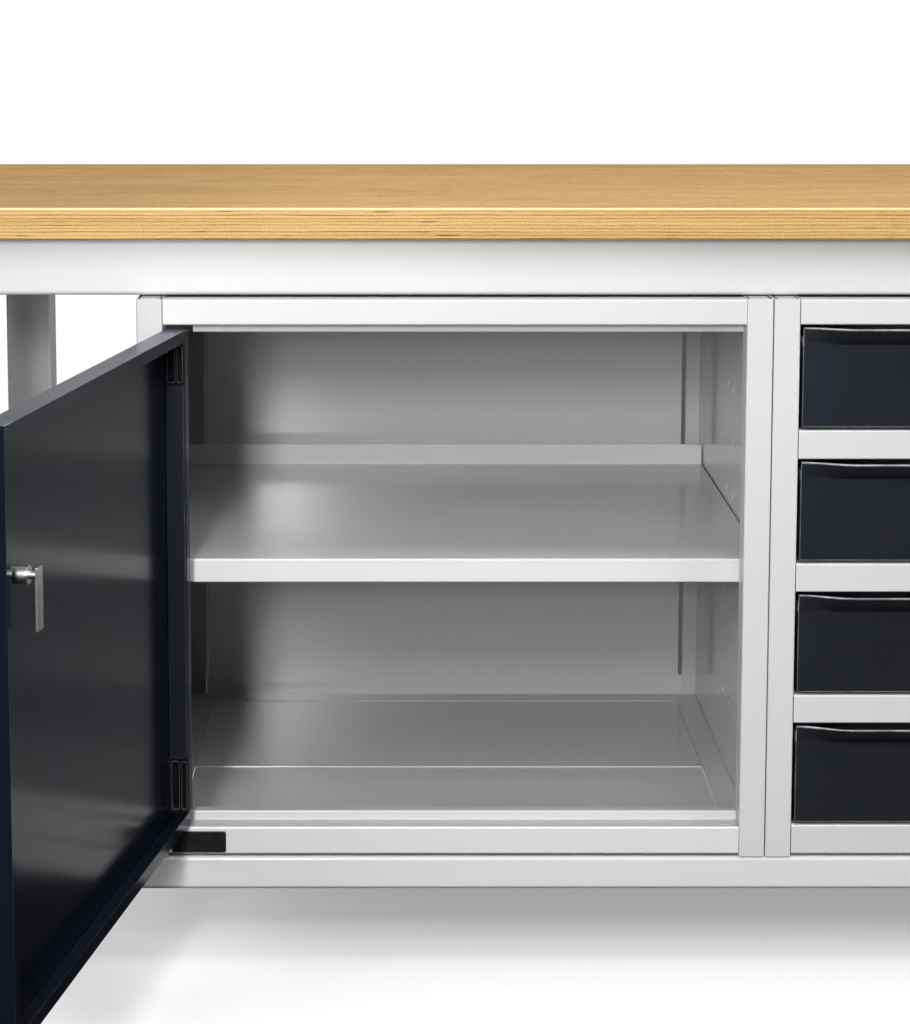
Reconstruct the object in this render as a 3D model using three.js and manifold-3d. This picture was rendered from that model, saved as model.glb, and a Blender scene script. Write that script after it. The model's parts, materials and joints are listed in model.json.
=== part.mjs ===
// Workbench with a hinged-door cabinet and a four-drawer unit under a plywood top.
// Millimetres, +Z up. X runs along the bench, -Y is the front. Heights below are
// counted from the floor; the finished bench is lowered so that the origin is the
// middle of the worktop's upper face. The door stands open on its stop.
import * as THREE from 'three';
import { mergeVertices } from 'three/addons/utils/BufferGeometryUtils.js';
import Module from 'manifold-3d';

const wasm = await Module();
wasm.setup();

// ---------------------------------------------------------------- dimensions
const BENCH_W = 2000, BENCH_H = 880;          // overall width and height
const TOP_D = 750, TOP_T = 36, TOP_R = 2.5;   // worktop depth, thickness, edge round
const BEAM_H = 67, BEAM_D = 45, BEAM_T = 2.5; // top beams, folded channel
const BEAM_BACK = 28;                         // front beam stands behind the cabinet face
const LOW_H = 39, LOW_D = 41, LOW_T = 2.5;    // lower beams, folded channel
const LOW_TOP = 127.2;                        // upper face of the lower beams
const LEG = 60, LEG_T = 3, LEG_X = 905;       // square legs, inner face from the middle
const FOOT_R = 26, FOOT_PAD = 12, FOOT_Z = 30;// levelling feet

const UNIT_W = 717, UNIT_D = 700, UNIT_H = 648; // both under-bench units
const UNIT_GAP = 0.5;                         // half the joint between the two units
const UNIT_Z0 = 128;                          // underside of the units
const FRONT_Y = -363;                         // front plane of the units
const SHEET = 1.2, BEND = 1.6;                // sheet thickness, bend radius on the centre line
const POST_W = 29.5, POST_D = 35;             // front posts
const REAR_W = 20.3, REAR_D = 31, REAR_FLANGE = 46; // rear posts
const RAIL_TOP_Z0 = 746.3, RAIL_TOP_Z1 = 775.5;     // top rail
const RAIL_LOW_Z0 = 131, RAIL_LOW_Z1 = 163;         // bottom rail
const STOP_IN = 26, STOP_H = 11.4, STOP_CUT = 32; // door stop behind the rails, cut away at the hinge
const FLOOR_Z = 129.4, LEDGE = 30.6, REAR_LEDGE = 43, FLOOR_STEP = 2.1;
const FLOOR_SPLIT = 328;                      // joint across the floor, from the front plane
const SLIT = 5.7, SLIT_Z = 157;               // gap beside the back panel

const SHELF_Z = 470.1, SHELF_IN = 37, SHELF_END = 623, SHELF_LIP = 28.2, SHELF_UP = 27.7, SHELF_GAP = 1.6;
const SLOT_W = 12, SLOT_H = 8, SLOT_PITCH = 67, SLOT_Z = 221;  // hook slots in the cabinet sides
const SLOT_Y = [306, 366, 638];

const OPEN_DEG = 99.1;                        // door opening at rest, from closed
const DOOR_W = 653, DOOR_T = 23.5, DOOR_Z0 = 169, DOOR_Z1 = 741.5, DOOR_LIP = 14;
const DOOR_EDGE = 3;                          // clearance of the door at the hinge post
const HINGE_IN = 9, HINGE_BACK = 5.5;         // hinge axis from the post and from the front plane
const HINGE_Z = [698, 212], HINGE_H = 50, BARREL_R = 3.6, PIN_R = 1.9;
const PLATE_Z = [[679, 727], [183.6, 247.5]], PLATE_OUT = 1.4, CUP_D = 4.4; // hinge plates: upper and lower, proud of the channel, depth of their cups
const CHAN_W = 4, CHAN_IN = 22.4, CHAN_FOOT = 6; // channel that closes the hinge edge inside the door, level with the lip
const LOCK_IN = 43, LOCK_Z = 600, LOCK_R = 9; // lock axis from the free edge of the door

const DRAWER_TOPS = [746.7, 593.1, 439.5, 285.9], DRAWER_OPEN = 120.4; // drawer openings
const DRAWER_GAP = 3.4, DRAWER_T = 1.5, GRIP_OUT = 17, GRIP_H = 19, GRIP_RUN = 62;
const TRAY_D = 600, TRAY_H = 96, TRAY_SIDE = 6; // trays behind the drawer fronts
const LEDGE_IN = 22;                          // drawer runners reach this far under the tray

// ------------------------------------------------------------------ materials
const paint = (hex, rough, metal = 0) => new THREE.MeshStandardMaterial({ color: hex, roughness: rough, metalness: metal });
const LIGHT = paint(0xe4e5e6, 0.4);
const GREY = paint(0xb9bbbd, 0.35);
const DARK = paint(0x1d2229, 0.35);
const BLACK = paint(0x121314, 0.5);
const WOOD = paint(0xd0a566, 0.5);
const ZINC = paint(0x9a9da0, 0.35, 0.8);

// -------------------------------------------------------------------- helpers
const bench = new THREE.Group();

function solid(geometry) {
  const g = geometry.index ? geometry.toNonIndexed() : geometry.clone();
  for (const name of Object.keys(g.attributes)) if (name !== 'position') g.deleteAttribute(name);
  const m = mergeVertices(g, 1e-4);
  return new wasm.Manifold(new wasm.Mesh({
    numProp: 3,
    vertProperties: new Float32Array(m.attributes.position.array),
    triVerts: new Uint32Array(m.index.array),
  }));
}

function geometryOf(man) {
  const mesh = man.getMesh();
  const n = mesh.numProp;
  const pos = new Float32Array((mesh.vertProperties.length / n) * 3);
  for (let i = 0; i < pos.length / 3; i++) for (let k = 0; k < 3; k++) pos[3 * i + k] = mesh.vertProperties[n * i + k];
  const g = new THREE.BufferGeometry();
  g.setAttribute('position', new THREE.BufferAttribute(pos, 3));
  g.setIndex(new THREE.BufferAttribute(new Uint32Array(mesh.triVerts), 1));
  g.computeVertexNormals();
  return g;
}

// axis-aligned block from two corners
function block(x0, x1, y0, y1, z0, z1) {
  const g = new THREE.BoxGeometry(x1 - x0, y1 - y0, z1 - z0);
  g.translate((x0 + x1) / 2, (y0 + y1) / 2, (z0 + z1) / 2);
  return g;
}

// outline of [a, b] points pushed along an axis: 'z' takes (x, y), 'x' takes (y, z), 'y' takes (x, z)
function push(points, axis, from, to) {
  const pts = points.map(([a, b]) => (axis === 'y' ? new THREE.Vector2(b, a) : new THREE.Vector2(a, b)));
  const g = new THREE.ExtrudeGeometry(new THREE.Shape(pts), { depth: to - from, bevelEnabled: false, steps: 1 });
  const m = new THREE.Matrix4();
  if (axis === 'x') m.set(0, 0, 1, from, 1, 0, 0, 0, 0, 1, 0, 0, 0, 0, 0, 1);
  else if (axis === 'y') m.set(0, 1, 0, 0, 0, 0, 1, from, 1, 0, 0, 0, 0, 0, 0, 1);
  else m.makeTranslation(0, 0, from);
  g.applyMatrix4(m);
  return g;
}

// rectangle with rounded corners
function rounded(x0, x1, z0, z1, r, n = 3) {
  const pts = [];
  for (const [cx, cz, a0] of [[x1 - r, z1 - r, 0], [x0 + r, z1 - r, 90], [x0 + r, z0 + r, 180], [x1 - r, z0 + r, 270]])
    for (let k = 0; k <= n; k++) { const a = ((a0 + (k * 90) / n) * Math.PI) / 180; pts.push([cx + r * Math.cos(a), cz + r * Math.sin(a)]); }
  return pts;
}

// closed outline of a folded sheet: centre line with rounded bends, thickened both ways
function fold(line, t = SHEET, r = BEND, n = 3) {
  const P = line.map(([a, b]) => new THREE.Vector2(a, b));
  const path = [];
  const add = (p, nrm) => path.push([p, nrm]);
  const left = (d) => new THREE.Vector2(-d.y, d.x);
  for (let i = 0; i < P.length; i++) {
    const din = i > 0 ? P[i].clone().sub(P[i - 1]).normalize() : null;
    const dout = i < P.length - 1 ? P[i + 1].clone().sub(P[i]).normalize() : null;
    if (!din) { add(P[i], left(dout)); continue; }
    if (!dout) { add(P[i], left(din)); continue; }
    const turn = Math.atan2(din.cross(dout), din.dot(dout));
    const cut = Math.abs(r * Math.tan(turn / 2));
    const a = P[i].clone().addScaledVector(din, -cut);
    const c = a.clone().addScaledVector(left(din), Math.sign(turn) * r);
    for (let k = 0; k <= n; k++) {
      const rot = (turn * k) / n;
      const arm = a.clone().sub(c).rotateAround(new THREE.Vector2(), rot);
      add(c.clone().add(arm), left(din).rotateAround(new THREE.Vector2(), rot));
    }
  }
  const one = path.map(([p, q]) => [p.x + (q.x * t) / 2, p.y + (q.y * t) / 2]);
  const two = path.map(([p, q]) => [p.x - (q.x * t) / 2, p.y - (q.y * t) / 2]).reverse();
  return [...one, ...two];
}

// the same with mitred bends, for outlines that are joined point by point
function mitre(line, t) {
  const P = line.map(([a, b]) => new THREE.Vector2(a, b));
  const dir = (i) => P[i + 1].clone().sub(P[i]).normalize();
  const arm = P.map((p, i) => {
    const d = i === 0 ? dir(0) : i === P.length - 1 ? dir(i - 1) : dir(i - 1).add(dir(i)).normalize();
    const cos = i === 0 || i === P.length - 1 ? 1 : d.dot(dir(i));
    return [(-d.y * t) / 2 / cos, (d.x * t) / 2 / cos];
  });
  return [...P.map((p, i) => [p.x + arm[i][0], p.y + arm[i][1]]), ...P.map((p, i) => [p.x - arm[i][0], p.y - arm[i][1]]).reverse()];
}

// round bar between two points
function rod(r, x, y, z0, z1, sides = 16, axis = 'z') {
  const g = new THREE.CylinderGeometry(r, r, z1 - z0, sides);
  if (axis === 'z') g.rotateX(Math.PI / 2).translate(x, y, (z0 + z1) / 2);
  else g.translate(x, (z0 + z1) / 2, y); // along Y: x, z given as x, y
  return g;
}

const join = (...gs) => gs.map((g) => (g.isBufferGeometry ? solid(g) : g)).reduce((a, b) => a.add(b));
const less = (a, ...gs) => gs.reduce((m, g) => m.subtract(g.isBufferGeometry ? solid(g) : g), a.isBufferGeometry ? solid(a) : a);

function part(name, shape, material, parent = bench) {
  const g = shape.isBufferGeometry ? geometryOf(solid(shape)) : geometryOf(shape);
  const mesh = new THREE.Mesh(g, material);
  mesh.name = name;
  parent.add(mesh);
  return mesh;
}

// closed skin through equal-length outlines set out along x
function loft(rings) {
  const turned = THREE.ShapeUtils.isClockWise(rings[0].map((p) => new THREE.Vector2(p[1], p[2])));
  const sections = rings.map((s) => (turned ? [...s].reverse() : s));
  const m = sections[0].length, pos = [], idx = [];
  for (const s of sections) for (const p of s) pos.push(...p);
  for (let i = 0; i < sections.length - 1; i++) for (let j = 0; j < m; j++) {
    const a = i * m + j, b = i * m + ((j + 1) % m), c = a + m, d = b + m;
    idx.push(a, b, d, a, d, c);
  }
  const cap = (k, flip) => {
    const s = sections[k];
    const flat = s.map((p) => new THREE.Vector2(p[1], p[2]));
    for (const [a, b, c] of THREE.ShapeUtils.triangulateShape(flat, [])) idx.push(...(flip ? [k * m + a, k * m + c, k * m + b] : [k * m + a, k * m + b, k * m + c]));
  };
  cap(0, true);
  cap(sections.length - 1, false);
  const g = new THREE.BufferGeometry();
  g.setAttribute('position', new THREE.Float32BufferAttribute(pos, 3));
  g.setIndex(idx);
  return g;
}

// ------------------------------------------------------------------- worktop
const TOP_Z = BENCH_H, BOARD_Z = TOP_Z - TOP_T, HALF = BENCH_W / 2, DEEP = TOP_D / 2;
{
  const r = TOP_R, k = 0.293 * r, y = DEEP, a = BOARD_Z, b = TOP_Z;
  const outline = [[-y + 1, a], [y - 1, a], [y, a + 1], [y, b - r], [y - k, b - k], [y - r, b], [-y + r, b], [-y + k, b - k], [-y, b - r], [-y, a + 1]];
  part('worktop', push(outline, 'x', -HALF, HALF), WOOD);
}

// ------------------------------------------------------------- steel frame
const BEAM_Y = FRONT_Y + BEAM_BACK, BEAM_Z0 = BOARD_Z - BEAM_H;
function channel(y, dir, z0, z1, depth, t, lip) {
  const h = t / 2;
  const line = [[y + dir * depth, z1 - h - lip], [y + dir * depth, z1 - h], [y + dir * h, z1 - h], [y + dir * h, z0 + h], [y + dir * depth, z0 + h], [y + dir * depth, z0 + h + lip]];
  return fold(line, t, t * 1.5, 4);
}
part('top_beam_front', push(channel(BEAM_Y, 1, BEAM_Z0, BOARD_Z, BEAM_D, BEAM_T, 12), 'x', -HALF + 20, HALF - 20), LIGHT);
part('top_beam_rear', push(channel(-BEAM_Y, -1, BEAM_Z0, BOARD_Z, BEAM_D, BEAM_T, 12), 'x', -HALF + 20, HALF - 20), LIGHT);

const LEG_Y1 = -FRONT_Y - LOW_D - 2, LEG_Y0 = LEG_Y1 - LEG;
const CROSS_Y = -BEAM_Y - BEAM_D - BEAM_T;
for (const [side, s] of [['left', -1], ['right', 1]]) {
  const xa = Math.min(s * LEG_X, s * (LEG_X + LEG)), xb = xa + LEG;
  const tube = (x0, x1, y0, y1, t) => {
    const ring = new THREE.Shape([[x0 + 2, y0], [x1 - 2, y0], [x1, y0 + 2], [x1, y1 - 2], [x1 - 2, y1], [x0 + 2, y1], [x0, y1 - 2], [x0, y0 + 2]].map((p) => new THREE.Vector2(...p)));
    ring.holes.push(new THREE.Path([[x0 + t, y0 + t], [x0 + t, y1 - t], [x1 - t, y1 - t], [x1 - t, y0 + t]].map((p) => new THREE.Vector2(...p))));
    return ring;
  };
  // tie between the beams at each end, standing on the legs
  part(`top_cross_${side}`, push(fold([[xa + 8, BEAM_Z0 + 1.25], [xb - 1.25, BEAM_Z0 + 1.25], [xb - 1.25, BOARD_Z - 1.25], [xa + 1.25, BOARD_Z - 1.25], [xa + 1.25, BEAM_Z0 + 6]], 2.5, 3.6, 3), 'y', -CROSS_Y, CROSS_Y), LIGHT);
  for (const [end, e] of [['front', -1], ['rear', 1]]) {
    const ya = e < 0 ? -LEG_Y1 : LEG_Y0;
    const leg = new THREE.ExtrudeGeometry(tube(xa, xb, ya, ya + LEG, LEG_T), { depth: BEAM_Z0 - FOOT_Z, bevelEnabled: false });
    leg.translate(0, 0, FOOT_Z);
    const cap = block(xa + 1, xb - 1, ya + 1, ya + LEG - 1, FOOT_Z, FOOT_Z + 5);
    part(`leg_${end}_${side}`, join(leg, cap), LIGHT);
    const cx = (xa + xb) / 2, cy = ya + LEG / 2;
    const prof = [[0, 0], [FOOT_R - 2, 0], [FOOT_R, 2], [FOOT_R, 6], [FOOT_R - 5, FOOT_PAD], [12, FOOT_PAD + 1], [12, FOOT_PAD + 8], [6, FOOT_PAD + 8], [6, FOOT_Z], [0, FOOT_Z]].map((p) => new THREE.Vector2(...p));
    const foot = new THREE.LatheGeometry(prof, 14);
    foot.rotateX(Math.PI / 2).translate(cx, cy, 0);
    part(`foot_${end}_${side}`, foot, BLACK);
  }
  part(`lower_tie_${side}`, push(fold([[xa + 14, LOW_TOP - LOW_H + 1.25], [xa + 1.25, LOW_TOP - LOW_H + 1.25], [xa + 1.25, LOW_TOP - 1.25], [xb - 1.25, LOW_TOP - 1.25], [xb - 1.25, LOW_TOP - LOW_H + 1.25], [xb - 14, LOW_TOP - LOW_H + 1.25]], 2.5, 3.6, 3), 'y', -LEG_Y0, LEG_Y0), LIGHT);
}
const LOW_X = LEG_X + LEG;
part('lower_beam_front', push(channel(FRONT_Y + 1.5, 1, LOW_TOP - LOW_H, LOW_TOP, LOW_D - 1.25, LOW_T, 10), 'x', -LOW_X, LOW_X), LIGHT);
part('lower_beam_rear', push(channel(-FRONT_Y - 1.5, -1, LOW_TOP - LOW_H, LOW_TOP, LOW_D - 1.25, LOW_T, 10), 'x', -LOW_X, LOW_X), LIGHT);

// ------------------------------------------------------- sides of both units
const REAR_Y = FRONT_Y + UNIT_D, TOP_UNIT = UNIT_Z0 + UNIT_H, H2 = SHEET / 2;
// xo is the outer face; s points to the inside
function unitSide(xo, s) {
  const X = (d) => xo + s * d;
  const main = fold([
    [X(POST_W - H2), FRONT_Y + POST_D], [X(POST_W - H2), FRONT_Y + H2], [X(H2), FRONT_Y + H2],
    [X(H2), REAR_Y - H2], [X(REAR_FLANGE), REAR_Y - H2]], SHEET, BEND, 3);
  const post = fold([
    [X(H2), REAR_Y - REAR_D + H2], [X(REAR_W - H2), REAR_Y - REAR_D + H2], [X(REAR_W - H2), REAR_Y - H2]], SHEET, BEND, 3);
  return join(push(main, 'z', UNIT_Z0, TOP_UNIT), push(post, 'z', UNIT_Z0 + 0.3, TOP_UNIT - 0.3),
    block(Math.min(X(4), X(POST_W - 4)), Math.max(X(4), X(POST_W - 4)), FRONT_Y + 0.6, FRONT_Y + POST_D - 3, TOP_UNIT - 1.4, TOP_UNIT - 0.2),
    block(Math.min(X(4), X(POST_W - 4)), Math.max(X(4), X(POST_W - 4)), FRONT_Y + 0.6, FRONT_Y + POST_D - 3, UNIT_Z0 + 0.2, UNIT_Z0 + 1.4));
}
const CAB_L = -UNIT_GAP - UNIT_W, CAB_R = -UNIT_GAP;
const DRW_L = UNIT_GAP, DRW_R = UNIT_GAP + UNIT_W;
function hookSlots(xo) {
  const cuts = [];
  for (let z = SLOT_Z; z < 690; z += SLOT_PITCH) for (const d of SLOT_Y) cuts.push(block(xo - 3, xo + 3, FRONT_Y + d - SLOT_W / 2, FRONT_Y + d + SLOT_W / 2, z - SLOT_H / 2, z + SLOT_H / 2));
  return cuts;
}
part('cabinet_side_left', less(unitSide(CAB_L, 1), ...hookSlots(CAB_L)), LIGHT);
part('cabinet_side_right', less(unitSide(CAB_R, -1), ...hookSlots(CAB_R)), LIGHT);

// ------------------------------------------------------------ front rails
const yz = (pts) => pts.map(([d, z]) => [FRONT_Y + d, z]);
const topRail = (z0) => fold(yz([[20, RAIL_TOP_Z1 - H2], [H2, RAIL_TOP_Z1 - H2], [H2, z0 + H2], [STOP_IN + H2, z0 + H2], [STOP_IN + H2, z0 - STOP_H + H2], [STOP_IN + 14, z0 - STOP_H + H2]]));
const lowRail = fold(yz([[20, RAIL_LOW_Z0 + H2], [H2, RAIL_LOW_Z0 + H2], [H2, RAIL_LOW_Z1 - H2], [STOP_IN + H2, RAIL_LOW_Z1 - H2], [STOP_IN + H2, RAIL_LOW_Z1 + STOP_H - H2], [STOP_IN + 15, RAIL_LOW_Z1 + STOP_H - H2], [STOP_IN + 15, FLOOR_Z + 1.5]]));
const IN_L = CAB_L + POST_W, IN_R = CAB_R - POST_W;
part('cabinet_rail_top', less(push(topRail(RAIL_TOP_Z0), 'x', IN_L + 0.3, IN_R - 0.3),
  block(IN_L - 2, IN_L + STOP_CUT, FRONT_Y + STOP_IN - 4, FRONT_Y + STOP_IN + 20, RAIL_TOP_Z0 - STOP_H - 3, RAIL_TOP_Z0 + 4)), LIGHT);
part('cabinet_rail_bottom', less(push(lowRail, 'x', IN_L + 0.3, IN_R - 0.3),
  block(IN_R - 19, IN_R - 8, FRONT_Y + 7, FRONT_Y + 10, RAIL_LOW_Z1 - 3, RAIL_LOW_Z1 + 3)), LIGHT);

// ------------------------------------------------------- cabinet inner sheets
const BACK_Y = REAR_Y - REAR_D;
function unitBack(l, r, z1) {
  const a = l + REAR_W + SLIT, b = r - REAR_W - SLIT;
  const plate = less(block(l + REAR_W + 0.3, r - REAR_W - 0.3, BACK_Y, BACK_Y + SHEET, FLOOR_Z, z1),
    block(l, a, BACK_Y - 5, BACK_Y + 5, SLIT_Z, z1 + 5), block(b, r, BACK_Y - 5, BACK_Y + 5, SLIT_Z, z1 + 5));
  const edge = (x0) => block(x0, x0 + SHEET, BACK_Y + H2, BACK_Y + 16, SLIT_Z + 0.5, z1 - 0.5);
  return join(plate, edge(a + 0.1), edge(b - SHEET - 0.1));
}
const CEIL_Z = 772;
part('cabinet_back', unitBack(CAB_L, CAB_R, CEIL_Z - 0.3), GREY);
part('cabinet_top', join(block(CAB_L + SHEET + 0.3, CAB_R - SHEET - 0.3, FRONT_Y + POST_D + 8, BACK_Y - 0.3, CEIL_Z, CEIL_Z + SHEET)), GREY);
{
  const l = CAB_L + SHEET + 0.3, r = CAB_R - SHEET - 0.3, z0 = UNIT_Z0, z1 = FLOOR_Z, f = FRONT_Y + POST_D + 0.5, b = BACK_Y - 0.3;
  part('cabinet_base_frame', join(block(l, l + LEDGE, f, b, z0, z1), block(r - LEDGE, r, f, b, z0, z1),
    less(block(l, r, b - REAR_LEDGE, b, z0, z1), block(r - 88, r - 76, b - 34, b - 30, z0 - 2, z1 + 2), block(l + 76, l + 88, b - 34, b - 30, z0 - 2, z1 + 2))), GREY);
  const pl = l + LEDGE + 0.8, pr = r - LEDGE - 0.8;
  part('cabinet_floor_front', block(pl, pr, FRONT_Y + STOP_IN + 16.6, FRONT_Y + FLOOR_SPLIT + 14, UNIT_Z0, FLOOR_Z - 0.1), GREY);
  // the rear plate laps over the front one with a turned front edge
  part('cabinet_floor_rear', push(fold([[FRONT_Y + FLOOR_SPLIT + 0.45, FLOOR_Z], [FRONT_Y + FLOOR_SPLIT + 0.45, FLOOR_Z + FLOOR_STEP - 0.45], [b - REAR_LEDGE - 0.8, FLOOR_Z + FLOOR_STEP - 0.45]], 0.9, 0.7, 2), 'x', pl, pr), GREY);
}

// --------------------------------------------------------------------- shelf
{
  const l = CAB_L + SHEET + SHELF_GAP, r = CAB_R - SHEET - SHELF_GAP;
  const prof = fold(yz([[SHELF_IN + 14, SHELF_Z - SHELF_LIP + H2], [SHELF_IN + H2, SHELF_Z - SHELF_LIP + H2], [SHELF_IN + H2, SHELF_Z - H2], [SHELF_END - H2, SHELF_Z - H2], [SHELF_END - H2, SHELF_Z + SHELF_UP]]));
  const edge = (x0, x1) => block(x0, x1, FRONT_Y + SHELF_IN + 4, FRONT_Y + SHELF_END - 4, SHELF_Z - 20, SHELF_Z - 0.5);
  part('shelf', join(push(prof, 'x', l, r), edge(l + 0.1, l + SHEET), edge(r - SHEET, r - 0.1)), GREY);
  // hooked clips in the side slots, under the shelf
  let n = 1;
  for (const [x, s] of [[CAB_L + SHEET, 1], [CAB_R - SHEET, -1]]) for (const d of [SLOT_Y[0], SLOT_Y[2] - 42]) {
    const X = (a, b) => [Math.min(x + s * a, x + s * b), Math.max(x + s * a, x + s * b)];
    const z = SHELF_Z - 20.3, y = FRONT_Y + d;
    part(`shelf_clip_${n++}`, join(
      block(...X(0.2, 1.7), y - 6, y + 6, z - 24, z),
      block(...X(0.2, 15), y - 6, y + 6, z - 1.5, z),
      block(...X(13.5, 15), y - 6, y + 6, z - 6, z)), ZINC);
  }
}

// -------------------------------------------------- blank plate on the rail
part('name_plate_blank', push(rounded(-683.9, -621.4, 133.4, 158.3, 2.6), 'y', FRONT_Y - 1.8, FRONT_Y), BLACK);

// ---------------------------------------------------------------------- door
// Built closed around the hinge axis, then turned open. Local x runs from the axis
// towards the free edge, local y goes into the cabinet, local z is the bench's z.
const AXIS_X = IN_L + HINGE_IN, AXIS_Y = FRONT_Y + HINGE_BACK;
const door = new THREE.Group();
door.position.set(AXIS_X, AXIS_Y, 0);
door.rotation.z = -THREE.MathUtils.degToRad(OPEN_DEG);
bench.add(door);
{
  const dx0 = -HINGE_IN + DOOR_EDGE, dx1 = dx0 + DOOR_W, dy0 = -HINGE_BACK, dy1 = dy0 + DOOR_T, t = SHEET;
  const z0 = DOOR_Z0, z1 = DOOR_Z1, lip = DOOR_LIP;
  const pan = less(block(dx0, dx1, dy0, dy1, z0, z1), block(dx0 + t, dx1 - t, dy0 + t, dy1 - t, z0 + t, z1 - t), block(dx0 + lip, dx1 - lip, dy1 - 3, dy1 + 3, z0 + lip, z1 - lip));
  // corner notches for the hinge barrels and the hole for the lock
  const notch = HINGE_Z.map((z) => block(dx0 - 1, BARREL_R + 1.6, dy0 - 1, BARREL_R + 2.2, z - HINGE_H / 2 - 2, z + HINGE_H / 2 + 2));
  const lockX = dx1 - LOCK_IN;
  part('door_panel', less(pan, ...notch, rod(LOCK_R + 0.5, lockX, LOCK_Z, dy0 - 2, dy0 + 4, 24, 'y')), DARK, door);
  // channel behind the hinge edge, open towards it
  const c0 = dx0 + lip + 1, c1 = c0 + CHAN_W, cy = dy0 + CHAN_IN;
  const chan = fold([[c0, cy], [c1, cy], [c1, dy0 + t + 0.9], [c1 - CHAN_FOOT, dy0 + t + 0.9]], t, BEND, 2);
  part('door_stiffener', push(chan, 'z', PLATE_Z[1][1] + 0.6, PLATE_Z[0][0] - 0.6), DARK, door);
  // hinges: a framed plate on the door carries the upper barrel, a leaf on the post carries the pin
  HINGE_Z.forEach((z, i) => {
    const tag = ['top', 'bottom'][i], h = HINGE_H / 2;
    const [za, zb] = PLATE_Z[i];
    const xo = c1 + PLATE_OUT;
    const plate = join(
      block(c0 - 0.5, xo, dy0 + t + 0.3, dy1 - 0.2, za, zb),
      block(BARREL_R * 0.4, c0 + 4, dy0 + t + 0.3, dy0 + t + 2.6, z + 0.4, z + h - 2),
      rod(BARREL_R, 0, 0, z + 0.4, z + h - 2, 20));
    const cup = [[dy0 + 4.2, dy0 + 13.2], [dy0 + 15.9, dy0 + 21.9]].map(([a, b]) => push(rounded(a, b, za + 3.5, zb - 3.5, 2.2), 'x', xo - CUP_D, xo + 1));
    part(`hinge_plate_${tag}`, less(plate, ...cup, rod(PIN_R + 0.3, 0, 0, z - 3, z + h - 5, 16)), BLACK, door);
    const lx = IN_L - AXIS_X, g = new THREE.Group();
    g.position.set(AXIS_X, AXIS_Y, 0);
    bench.add(g);
    const leaf = join(
      block(lx + 0.05, lx + 1.6, -2.5, 27, z - h, z + h),
      block(lx + 0.05, 0, -1, 1, z - h, z - 0.4),
      rod(BARREL_R, 0, 0, z - h, z - 0.4, 20),
      rod(PIN_R, 0, 0, z - 2, z + h - 7, 16));
    part(`hinge_leaf_${tag}`, leaf, BLACK, g);
  });
  // bow handle on the outer face
  const hx = lockX, hz = 455, hh = 70, N = 14, sec = [];
  for (let i = 0; i <= N; i++) {
    const u = i / N, a = Math.sin(Math.PI * u), out = 3.5 + 24 * Math.pow(a, 0.55), z = hz + hh - 2 * hh * u, th = 7 + 4 * (1 - a), w = 9 + 5 * Math.pow(1 - a, 2);
    const inner = i === 0 || i === N ? 0.3 : Math.max(0.3, out - th);
    sec.push([[hx - w, dy0 - inner, z], [hx - w, dy0 - out + 2.5, z], [hx - w + 3, dy0 - out, z], [hx + w - 3, dy0 - out, z], [hx + w, dy0 - out + 2.5, z], [hx + w, dy0 - inner, z]]);
  }
  const pos = [], idx = [], m = 6;
  for (const s of sec) for (const p of s) pos.push(...p);
  for (let i = 0; i < N; i++) for (let j = 0; j < m; j++) { const a = i * m + j, b = i * m + ((j + 1) % m); idx.push(a, b + m, b, a, a + m, b + m); }
  for (let j = 1; j < m - 1; j++) { idx.push(0, j, j + 1); idx.push(N * m, N * m + j + 1, N * m + j); }
  const bow = new THREE.BufferGeometry();
  bow.setAttribute('position', new THREE.Float32BufferAttribute(pos, 3));
  bow.setIndex(idx);
  part('door_handle', bow, BLACK, door);
  // lock plug through the door with the cam behind it
  part('lock_plug', less(join(rod(LOCK_R + 3, lockX, LOCK_Z, dy0 - 3.2, dy0 - 0.3, 24, 'y'), rod(LOCK_R - 0.2, lockX, LOCK_Z, dy0 - 1, dy0 + 30, 24, 'y'), rod(4, lockX, LOCK_Z, dy0 + 29, dy0 + POST_D + 2.2, 16, 'y')),
    block(lockX - 0.9, lockX + 0.9, dy0 - 5, dy0 - 1.2, LOCK_Z - 5, LOCK_Z + 5)), ZINC, door);
  part('lock_cam', join(block(lockX - 8, lockX + 8, dy0 + POST_D + 2.5, dy0 + POST_D + 5, LOCK_Z - 50, LOCK_Z + 8)), ZINC, door);
}

// --------------------------------------------------------------- drawer unit
const DL = DRW_L + POST_W, DR = DRW_R - POST_W;
function drawerSide(xo, s) {
  const X = (d) => xo + s * d;
  let body = unitSide(xo, s);
  for (const zt of DRAWER_TOPS) {
    const z = zt - DRAWER_OPEN + 7;
    const runner = fold([[X(H2), z + 26], [X(H2 + 0.6), z - H2], [X(POST_W + TRAY_SIDE + LEDGE_IN), z - H2], [X(POST_W + TRAY_SIDE + LEDGE_IN), z - 11]].slice(1), SHEET, BEND, 2);
    body = body.add(solid(push(runner, 'y', FRONT_Y + POST_D + 6, FRONT_Y + 632)));
  }
  return body;
}
part('drawer_unit_side_left', drawerSide(DRW_L, 1), LIGHT);
part('drawer_unit_side_right', drawerSide(DRW_R, -1), LIGHT);
part('drawer_unit_back', unitBack(DRW_L, DRW_R, CEIL_Z - 0.3), GREY);
part('drawer_unit_top', block(DRW_L + SHEET + 0.3, DRW_R - SHEET - 0.3, FRONT_Y + POST_D + 8, BACK_Y - 0.3, CEIL_Z, CEIL_Z + SHEET), GREY);
part('drawer_unit_bottom', block(DRW_L + SHEET + 0.3, DRW_R - SHEET - 0.3, FRONT_Y + POST_D + 0.5, BACK_Y - 0.3, UNIT_Z0, FLOOR_Z - 0.1), GREY);
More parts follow.
